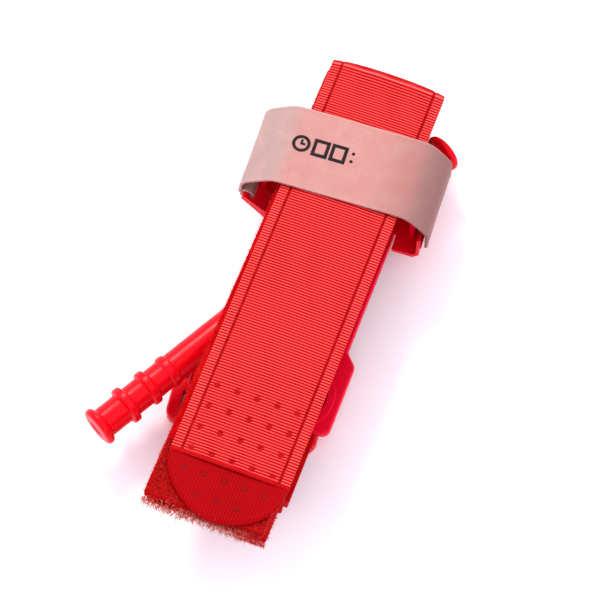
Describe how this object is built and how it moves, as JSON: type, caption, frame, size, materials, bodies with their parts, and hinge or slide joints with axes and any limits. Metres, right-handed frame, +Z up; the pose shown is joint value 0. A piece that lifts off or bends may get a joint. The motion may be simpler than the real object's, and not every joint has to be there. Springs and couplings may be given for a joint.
{
  "type": "windlass tourniquet",
  "caption": "Folded one-handed tourniquet: webbing band packed over a windlass rod, clip plate and buckle, held by a white writing strap.",
  "frame": {"origin": "centre of the bounding box on the surface that the folded tourniquet lies on", "axes": "+Y along the band from its rounded tip to the upper folds, +Z up, +X across the band, away from the rod's free end"},
  "size_m": [0.0796, 0.1608, 0.0361],
  "materials": {
    "plate": "satin",
    "clip": "satin",
    "rod": "satin",
    "buckle": "satin",
    "webbing": "ribbed",
    "hook_loop": "fuzzy",
    "pull_strap": "woven",
    "thread": "matte",
    "tab": "ribbed",
    "strap": "satin weave",
    "patch": "fuzzy",
    "ink": "matte"
  },
  "bodies": {
    "base": {"base_plate": "plate", "windlass_clip": "clip", "clip_hook_patch": "patch", "fixed_band_webbing": "webbing", "fixed_pull_strap": "pull_strap", "fixed_band_hook_loop": "hook_loop"},
    "windlass": {"windlass_rod": "rod", "windlass_strap": "pull_strap"},
    "pack": {"pack_webbing": "webbing", "pack_pull_strap": "pull_strap", "pack_hook_loop": "hook_loop", "pack_thread_left": "thread", "pack_thread_right": "thread", "tip_tab": "tab", "tip_welds": "thread"},
    "tail": {"tail_webbing": "webbing", "tail_pull_strap": "pull_strap", "tail_hook_loop": "hook_loop", "buckle_loop": "webbing", "buckle_tack": "thread"},
    "buckle_frame": {"buckle": "buckle"},
    "writing_strap": {"time_strap": "strap", "time_strap_loop_patch": "patch", "time_strap_tack": "thread", "time_print": "ink"}
  },
  "joints": [
    {"name": "windlass_turn", "type": "hinge", "parent": "base", "child": "windlass", "pos_m": [-0.0008, 0.00332, 0.0165], "axis": [0, 0, 1], "range_deg": [0, 36], "deforming": ["windlass_strap"]},
    {"name": "pack_unfold", "type": "hinge", "parent": "base", "child": "pack", "pos_m": [0.0083, 0.07952, 0.00085], "axis": [-1, 0, 0], "range_deg": [0, 30]},
    {"name": "writing_strap_open", "type": "hinge", "parent": "base", "child": "writing_strap", "pos_m": [-0.02146, 0.04231, 0.0194], "axis": [0.0523, -0.9986, 0], "range_deg": [0, 120]},
    {"name": "tail_unfold", "type": "hinge", "parent": "base", "child": "tail", "pos_m": [0.00656, -0.06103, 0.00585], "axis": [-0.9925, -0.1219, 0], "range_deg": [0, 100]},
    {"name": "buckle_turn", "type": "hinge", "parent": "tail", "child": "buckle_frame", "pos_m": [0.00418, -0.04168, 0.0021], "axis": [-0.9925, -0.1219, 0], "range_deg": [0, 60]}
  ],
  "couplings": [
    {"joint": "writing_strap_open", "follows": "pack_unfold", "ratio": 4}
  ]
}
